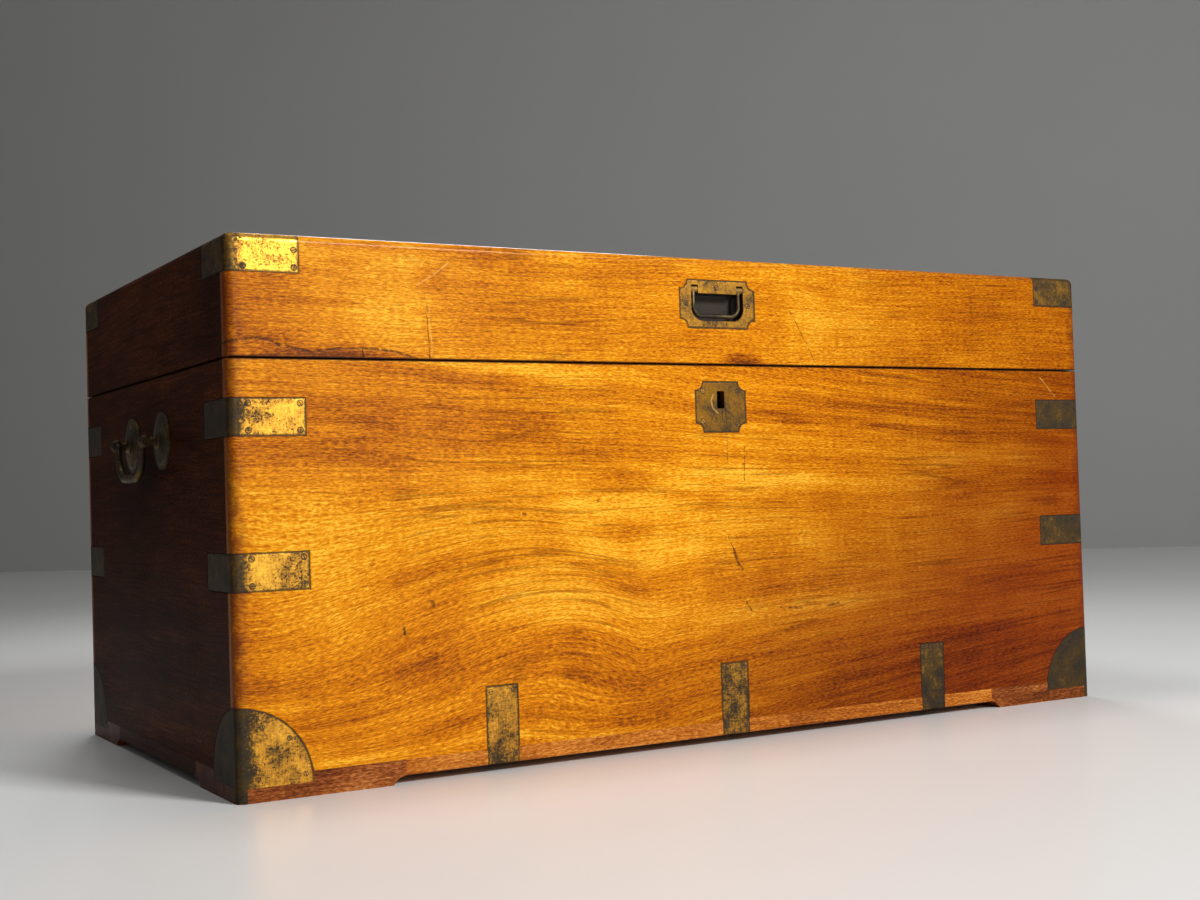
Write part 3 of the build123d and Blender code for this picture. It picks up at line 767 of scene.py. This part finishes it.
speck_range = (0.62, 0.70)
speck_share = 0.9
crust_range = (0.022, 0.004)
crust_blotch = (0.46, 0.62)
crust_share = 0.8
rim_share = 0.8
rim_wear = 0.0022
rim_range = (0.0008, -0.0006)
# How much, and by what, the brass on the ends is darkened: painted shade of the shadowed end faces
end_shade_share = 0.7
end_shade = (0.30, 0.26, 0.24, 1)
pit_tone = colour(44, 38, 26)
black_brass = colour(50, 42, 30)


def old_brass(
    name, bright, middle, dull, rim=None, tarnish=0.45, pits=1.0, arris=True, lines=(), toned_or_shaded=None
):
    """Brass that is rubbed bright in places and tarnished and pitted in others; where it wraps an arris it
    is darkened with painted shade to the right and on the ends.
    """
    finish = Finish(name)
    x, y, z = finish.axes()
    blotch = finish.noise(finish.place, scale=blotch_scale, detail=4.0, roughness=0.62)
    fine = finish.noise(finish.place, scale=fine_scale, detail=2.0, roughness=0.6)
    rub = layer(finish, (x, y, z), rub_scale, detail=2.0)
    scour = layer(finish, (x, y, z), scour_scale, detail=1.0)
    stain = weigh(tarnish, (blotch, fine, rub, scour), stain_weights)
    if arris:
        # Duller and darker towards the right and round the end arrises: partly tarnish, partly painted shade
        # where the brass catches less light
        ragged = (blotch + fine) * 0.012
        dull_and_shade_share = (abs(x) + ragged).rise(end_x - 0.008, end_x + 0.004).most(x.rise(-0.1, 0.45))
        stain = stain * (1 - dull_and_shade_share * 0.55) + dull_and_shade_share * 0.66
    speck = finish.noise(finish.place, scale=speck_scale, detail=1.0) + (blotch - 0.5) * 0.7
    web = finish.noise(finish.place, scale=web_scale, detail=4.0, roughness=0.7, distortion=0.6)
    crust = abs(web - 0.5).rise(*crust_range) * (blotch + (fine - 0.5) * 0.5).rise(*crust_blotch)
    dark = (speck.rise(*speck_range) * speck_share).most(crust * crust_share) * pits
    if rim:
        dark = dark.most((rim(x, y, z) - fine * rim_wear).rise(*rim_range) * rim_share)
    surface = finish.ramp(stain, (0.15, bright), (0.45, middle), (0.80, dull), (1.0, black_brass))
    surface = finish.mix(dark, surface, pit_tone)
    if arris:
        # Painted shade of the shadowed end faces
        surface = finish.darken(on_ends(x) * end_shade_share, surface, end_shade)
    if lines:
        spot = finish.vector(x + (fine - 0.5) * 0.0012, z + (blotch - 0.5) * 0.0012, 0.0)
        for points, width, tone in lines:
            cut = strokes(finish, spot, points, width)
            surface = finish.mix(cut * cut_share, surface, tone)
            dark = dark.most(cut)
    # A given region takes another tone: the knuckles' own brass colour, or painted shade and old polish down
    # in the pull's cup
    if toned_or_shaded:
        region, tone = toned_or_shaded
        share = region(x, y, z)
        surface = finish.mix(share, surface, finish.mix(blotch, tone, (0.01, 0.01, 0.01, 1)))
        dark = dark.most(share * 0.9)
    return finish.shade(
        base_color=surface,
        metallic=1 - stain.rise(0.35, 0.95) * 0.25 - dark * 0.3,
        roughness=0.30 + stain.rise(0.1, 0.9) * 0.28 + dark * 0.1,
        normal=finish.bump(fine * 0.3 + rub * 0.25 - dark, 0.4, 0.0004),
    )


gold = colour(246, 190, 68)
old_gold = colour(204, 146, 52)
olive = colour(88, 66, 32)


def strap_rim(x, y, z):
    """How far a place on an arris strap is from the strap's edge."""
    rows = abs(z - upper_strap_z).least(abs(z - middle_strap_z))
    return (abs(x) - strap_inner_x).least(abs(y) - strap_inner_y).least(strap_half - rows)


def cap_rim(x, y, z):
    """How far a place on a lid cap is from the cap's edge."""
    return (0 - round_edge(abs(x), abs(y), (end_x, back_y), cap_reach)).least(z - cap_low_z)


def corner_rim(x, y, z):
    """How far a place on a corner plate is from its round edge."""
    reach = (end_x + back_y) - abs(x) - abs(y)
    return 0 - round_edge(reach, z, (0.0, plate_low_z), plate_radius)


def bottom_strap_rim(x, y, z):
    """How far a place on a bottom strap is from the strap's edge."""
    beside = nearest([abs(x - place) for place in bottom_strap_places])
    return (strap_half - beside).least(bottom_strap_top - z)


def lock_rim(x, y, z):
    return 0 - notched_edge(x, z, (lock_low.x, lock_low.z), (lock_high.x, lock_high.z))


def pull_rim(x, y, z):
    return 0 - notched_edge(x, z, (pull_low.x, pull_low.z), (pull_high.x, pull_high.z))


def in_cup(x, y, z):
    """1 down in the cup of the pull: painted shade of the recess, and the old polish that is never cleaned
    out.
    """
    return y.rise(front_y + 0.0010, front_y + 0.0035)


def on_knuckle(x, y, z):
    """1 on the knuckles that the bail turns on."""
    return z.rise(bail_top - 0.0085, bail_top - 0.0065)


# Scratches round the keyhole and dents under the bail: points across and up, width, tone

bright_scratch = colour(186, 146, 70)
deep_scratch = colour(52, 40, 22)
faint_scratch = colour(60, 46, 24)
lock_scratches = (
    (((-0.0092, 0.3439), (-0.0118, 0.3379), (-0.0096, 0.3309), (-0.0037, 0.3259)), 0.0011, bright_scratch),
    (((0.0060, 0.3289), (0.0108, 0.3259), (0.0155, 0.3218)), 0.0010, deep_scratch),
    (((0.0018, 0.3279), (0.0015, 0.3189)), 0.0009, faint_scratch),
    (((-0.0073, 0.3269), (-0.0111, 0.3199)), 0.0008, faint_scratch),
    (((0.0059, 0.3259), (0.0058, 0.3209)), 0.0008, faint_scratch),
)
pull_dents = tuple(
    (((across, height), (across + 0.0004, height - 0.0018)), 0.0011, colour(48, 36, 20))
    for across, height in ((-0.0173, 0.4140), (-0.0035, 0.4133), (0.0099, 0.4147))
)

sides = ("left", "right")
strap_rows = ("upper_strap", "middle_strap")
bottom_places = ("left", "middle", "right")
bottom_straps = [f"{side}_{place}_bottom_strap" for side in ("front", "back") for place in bottom_places]
handle_kinds = ("handle", "handle_roses", "handle_posts")
handle_pieces = [f"{side}_{kind}" for side in sides for kind in handle_kinds]
hinge_leaves = [f"{side}_hinge_{leaf}_leaf" for side in sides for leaf in ("lower", "upper")]

strap_brass = old_brass("strap_brass", gold, old_gold, olive, strap_rim, 0.42)
corner_brass = old_brass("corner_brass", gold, old_gold, olive, corner_rim, 0.52)
cap_brass = old_brass("cap_brass", gold, old_gold, olive, cap_rim, 0.24, pits=0.7)
bottom_strap_brass = old_brass("bottom_strap_brass", gold, old_gold, olive, bottom_strap_rim, 0.64)
lock_brass = old_brass(
    "lock_brass", gold, colour(150, 104, 34), colour(104, 74, 28), lock_rim, 0.66, pits=0.3, arris=False,
    lines=lock_scratches,
)
# Its cup is darkened with painted shade of the recess and old polish
pull_brass = old_brass(
    "pull_brass", gold, colour(178, 126, 44), colour(112, 82, 34), pull_rim, 0.60, pits=0.4, arris=False,
    lines=pull_dents, toned_or_shaded=(in_cup, colour(66, 54, 44)),
)
bail_brass = old_brass(
    "bail_brass", colour(190, 176, 140), colour(112, 96, 66), colour(56, 48, 38), tarnish=0.66, pits=0.3,
    arris=False, toned_or_shaded=(on_knuckle, colour(176, 134, 62)),
)
handle_brass = old_brass(
    "handle_brass", colour(200, 166, 96), colour(112, 88, 46), colour(58, 48, 34), tarnish=0.72, pits=0.5,
    arris=False,
)
hinge_brass = old_brass("hinge_brass", gold, old_gold, olive, tarnish=0.5, pits=0.4, arris=False)
lock_iron = old_brass(
    "lock_iron", colour(120, 116, 110), colour(84, 78, 70), colour(70, 50, 36), tarnish=0.5, pits=0.8,
    arris=False,
)
paint([f"{corner}_{row}" for corner in corners for row in strap_rows], strap_brass)
paint([f"{corner}_corner_plate" for corner in corners], corner_brass)
paint([f"{corner}_lid_corner_cap" for corner in corners], cap_brass)
paint(bottom_straps, bottom_strap_brass)
paint(["lock_plate"], lock_brass)
paint(["pull_plate"], pull_brass)
paint(["pull_handle", "pull_pins"], bail_brass)
paint(handle_pieces, handle_brass)
paint([*hinge_leaves, "hinge_pins", "link_plate"], hinge_brass)
paint(["lock_case", "lock_bolt", "handle_nuts"], lock_iron)


# Screws: flush heads filed off with the plates, dirt round them and in their slots

draw = random.Random(11)
screw_radius = 0.0030
pin_radius = 0.0024
head_sides = 20
head_proud = 0.00010
head_depth = 0.0008
collar_proud = 0.00003
collar_share = 0.26
slot_half = 0.00042
slot_depth = 0.00005
slot_slope = 0.00006


def dirt():
    """Old polish and dirt packed round a screw."""
    finish = Finish("screw_dirt")
    grain = finish.noise(finish.place, scale=900.0, detail=2.0)
    surface = finish.mix(grain, colour(30, 23, 14), colour(62, 48, 28))
    return finish.shade(base_color=surface, roughness=0.8, normal=finish.bump(grain, 0.3, 0.0002))


def faces_up(face):
    return face.normal.z > 0.99


def on_head(face):
    """Above the collar and the slot."""
    return face.calc_center_median().z > head_proud * 0.9


def upper_faces(shape):
    """The faces that look straight up, from low to high."""
    found = [face for face in shape.faces if faces_up(face)]
    return sorted(found, key=lambda face: face.calc_center_median().z)


def head(radius):
    """A screw head at the origin that faces +Z, with a dark collar and slot."""
    shape = bmesh.new()
    bmesh.ops.create_cone(
        shape, cap_ends=True, segments=head_sides, radius1=radius, radius2=radius, depth=head_depth
    )
    bmesh.ops.translate(shape, vec=(0, 0, collar_proud - head_depth / 2), verts=shape.verts)
    rise = head_proud - collar_proud
    bmesh.ops.inset_region(shape, faces=upper_faces(shape), thickness=radius * collar_share, depth=rise)
    for side in (-1, 1):
        top = [face for face in upper_faces(shape) if on_head(face)]
        edges = {edge for face in top for edge in face.edges}
        verts = {vert for face in top for vert in face.verts}
        bmesh.ops.bisect_plane(
            shape, geom=[*top, *edges, *verts], plane_co=(side * slot_half, 0, 0), plane_no=(1, 0, 0)
        )
    slot = [face for face in upper_faces(shape) if abs(face.calc_center_median().x) < slot_half / 2]
    bmesh.ops.inset_individual(shape, faces=slot, thickness=slot_slope, depth=-slot_depth)
    for face in shape.faces:
        face.material_index = int(not (faces_up(face) and on_head(face)))
    mesh = bpy.data.meshes.new("head")
    shape.to_mesh(mesh)
    shape.free()
    return mesh


def screws(name, body, places, materials):
    """One piece made of all the heads at places: each a point, the way it faces and a radius."""
    patterns = {radius: head(radius) for radius in sorted({radius for _, _, radius in places})}
    shape = bmesh.new()
    for point, facing, radius in places:
        before = len(shape.verts)
        shape.from_mesh(patterns[radius])
        shape.verts.ensure_lookup_table()
        turn = Matrix.Rotation(draw.uniform(0, math.pi), 4, "Z")
        stand = Vector(facing).to_track_quat("Z", "Y").to_matrix().to_4x4()
        bmesh.ops.transform(
            shape, matrix=Matrix.Translation(point) @ stand @ turn, verts=shape.verts[before:]
        )
    mesh = bpy.data.meshes.new(name)
    shape.to_mesh(mesh)
    shape.free()
    for material in materials:
        mesh.materials.append(material)
    piece = bpy.data.objects.new(name, mesh)
    bpy.context.scene.collection.objects.link(piece)
    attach(piece, body)


def on_four_faces(reach_and_height, radius):
    """Places on the front, back and both ends, each so far from its upright arris."""
    found = []
    for reach, height in reach_and_height:
        for side in (-1, 1):
            for end in (-1, 1):
                found.append(((end * (end_x - reach), side * back_y, height), (0, side, 0), radius))
                found.append(((end * end_x, side * (back_y - reach), height), (end, 0, 0), radius))
    return found


# Where the screws sit: how far from an upright arris or a plate's edge, in metres

strap_edge_gap = 0.0045
strap_near_reach = 0.0173
strap_far_gap = 0.0048
corner_pin_circle = 0.0605
corner_pin_angles = (7, 40, 73)
corner_inner_pin = (0.0230, 0.0500)
bottom_pin_low = 0.0156
bottom_pin_gap = 0.0050
cap_edge_gap = 0.0040
cap_heights = (0.0045, 0.0195)
cap_arris_pin = (0.0160, 0.0043)
cap_top_gap = 0.0060
cap_top_angles = (22, 68)
hinge_steps = (-0.026, 0.0, 0.026)
lock_case_reach = 0.0470
link_reach = 0.0330
lock_side_reach = 0.0350
lock_low_gap = 0.007
lock_high_gap = 0.010

strap_spots = [
    (reach, middle + side * (strap_half - strap_edge_gap))
    for middle in (upper_strap_z, middle_strap_z)
    for reach in (strap_near_reach, strap_leg - strap_far_gap)
    for side in (-1, 1)
]
corner_spots = []
for angle in corner_pin_angles:
    turn = math.radians(angle)
    rise = corner_pin_circle * math.sin(turn)
    corner_spots.append((corner_pin_circle * math.cos(turn), plate_low_z + rise))
corner_spots.append((corner_inner_pin[0], plate_low_z + corner_inner_pin[1]))
case_screws = on_four_faces(strap_spots, screw_radius) + on_four_faces(corner_spots, pin_radius)
for place in bottom_strap_places:
    for side in (-1, 1):
        for across in (-1, 1):
            for height in (bottom_pin_low, bottom_strap_top - bottom_pin_gap):
                spot = (place + across * (strap_half - strap_edge_gap), side * back_y, height)
                case_screws.append((spot, (0, side, 0), pin_radius))
lock_spots = ((-0.0211, 0.3478), (0.0206, 0.3480), (-0.0220, 0.3175), (0.0196, 0.3148))
case_screws += [((across, front_y, height), (0, -1, 0), screw_radius) for across, height in lock_spots]

cap_spots = [(cap_reach - cap_edge_gap, cap_low_z + height) for height in cap_heights]
cap_spots.append((cap_arris_pin[0], cap_low_z + cap_arris_pin[1]))
lid_screws = on_four_faces(cap_spots, screw_radius)
for side in (-1, 1):
    for end in (-1, 1):
        for angle in cap_top_angles:
            turn = math.radians(angle)
            reach = cap_reach - cap_top_gap
            across = end_x - reach * math.cos(turn)
            back = back_y - reach * math.sin(turn)
            lid_screws.append(((end * across, side * back, top_z), (0, 0, 1), screw_radius))
pull_spots = ((-0.0011, 0.4505), (-0.0375, 0.4342), (0.0363, 0.4335))
lid_screws += [((across, front_y, height), (0, -1, 0), screw_radius) for across, height in pull_spots]

hinge_low, hinge_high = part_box("right_hinge_lower_leaf")
leaf_middle = (hinge_low.x + hinge_high.x) / 2
leaf_edge = (hinge_low.y + back_y) / 2
for end in (-1, 1):
    for step in hinge_steps:
        spot = (end * leaf_middle + step, leaf_edge)
        case_screws.append(((*spot, rim_z), (0, 0, 1), pin_radius))
        lid_screws.append(((*spot, lid_low_z), (0, 0, -1), pin_radius))
lock_case_low, lock_case_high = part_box("lock_case")
lock_depth = (lock_case_low.y + lock_case_high.y) / 2
for end in (-1, 1):
    case_screws.append(((end * lock_case_reach, lock_depth, rim_z), (0, 0, 1), pin_radius))
    lid_screws.append(((end * link_reach, lock_depth, lid_low_z), (0, 0, -1), pin_radius))
    for height in (lock_case_low.z + lock_low_gap, rim_z - lock_high_gap):
        case_screws.append(((end * lock_side_reach, lock_case_high.y, height), (0, 1, 0), pin_radius))

screw_dirt = dirt()
screw_brass = old_brass("screw_brass", gold, old_gold, olive, tarnish=0.62, pits=0.4)
screws("case_screws", "case", case_screws, (screw_brass, screw_dirt))
screws("lid_screws", "lid", lid_screws, (screw_brass, screw_dirt))

# Camera, lights and surroundings

photo_width = 1200
focal_pixels = 1591.9
sensor = 36.0
camera_place = Vector((-0.9035, -1.5636, 0.2500))
azimuth = math.radians(30.33)
pitch = math.radians(1.55)
roll = math.radians(-1.80)

forward = Vector((math.sin(azimuth) * math.cos(pitch), math.cos(azimuth) * math.cos(pitch), math.sin(pitch)))
level = Vector((math.cos(azimuth), -math.sin(azimuth), 0))
upright = level.cross(forward)
right = level * math.cos(roll) + upright * math.sin(roll)
up = upright * math.cos(roll) - level * math.sin(roll)
camera_data = bpy.data.cameras.new("camera")
camera_data.sensor_width = sensor
camera_data.lens = focal_pixels / photo_width * sensor
camera = bpy.data.objects.new("camera", camera_data)
camera.matrix_world = Matrix.Translation(camera_place) @ Matrix((right, up, -forward)).transposed().to_4x4()
bpy.context.scene.collection.objects.link(camera)
bpy.context.scene.camera = camera


def lamp(name, place, target, width, height, power, spread=180):
    """A soft rectangular light that faces target."""
    data = bpy.data.lights.new(name, "AREA")
    data.shape = "RECTANGLE"
    data.size = width
    data.size_y = height
    data.energy = power
    data.spread = math.radians(spread)
    light = bpy.data.objects.new(name, data)
    light.location = place
    light.rotation_euler = (Vector(target) - Vector(place)).to_track_quat("-Z", "Y").to_euler()
    light.visible_camera = False
    bpy.context.scene.collection.objects.link(light)


# The window stands to the front right, and the low one gives the brasses on the left their shine.
# The lamp behind lights the back and draws a bright line on the lid's upper front arris.

lamp("window", (1.16, -3.46, 2.4), (-0.1, -0.26, 0.2), 1.0, 0.9, 140)
lamp("low_window", (0.45, -2.9, 0.70), (-0.3, -0.26, 0.3), 1.1, 0.9, 7.0)
lamp("top_light", (-0.42, 0.05, 2.4), (-0.3, -0.1, 0.4), 0.9, 0.35, 14)
lamp("back_light", (1.15, 2.9, 1.8), (0.0, 0.2, 0.3), 1.6, 1.2, 7, 70)

world = bpy.data.worlds.new("room")
world.use_nodes = True
world.node_tree.nodes["Background"].inputs["Color"].default_value = (1, 1, 1, 1)
world.node_tree.nodes["Background"].inputs["Strength"].default_value = 0.115
bpy.context.scene.world = world
bpy.context.scene.view_settings.view_transform = "Standard"


def plain(name, tone, rough, gloss):
    """A plain painted surface with a faint unevenness."""
    finish = Finish(name)
    cloud = finish.noise(finish.place, scale=1.3, detail=2.0)
    darker = (*(part * 0.94 for part in tone[:3]), 1.0)
    surface = finish.mix(cloud, tone, darker)
    return finish.shade(base_color=surface, roughness=rough, specular_ior_level=gloss)


def slab(name, low, high, material, turn=0.0):
    """A plain block of the surroundings, turned about the upright."""
    shape = bmesh.new()
    bmesh.ops.create_cube(shape, size=1.0)
    size = Vector(high) - Vector(low)
    bmesh.ops.scale(shape, vec=size, verts=shape.verts)
    bmesh.ops.translate(shape, vec=(Vector(high) + Vector(low)) / 2, verts=shape.verts)
    bmesh.ops.rotate(shape, cent=(0, 0, 0), matrix=Matrix.Rotation(turn, 3, "Z"), verts=shape.verts)
    mesh = bpy.data.meshes.new(name)
    shape.to_mesh(mesh)
    shape.free()
    mesh.materials.append(material)
    piece = bpy.data.objects.new(name, mesh)
    bpy.context.scene.collection.objects.link(piece)


room_reach = 9
wall_turn = -0.7614
floor_paint = plain("painted_floor", colour(246, 246, 244), 0.3, 0.2)
wall_paint = plain("grey_wall", colour(176, 176, 175), 0.9, 0.2)
slab("floor", (-room_reach, -room_reach, -0.05), (room_reach, room_reach, 0.0), floor_paint)
slab("back_wall", (-room_reach, 4.13, 0.0), (room_reach, 4.23, 6.0), wall_paint, wall_turn)
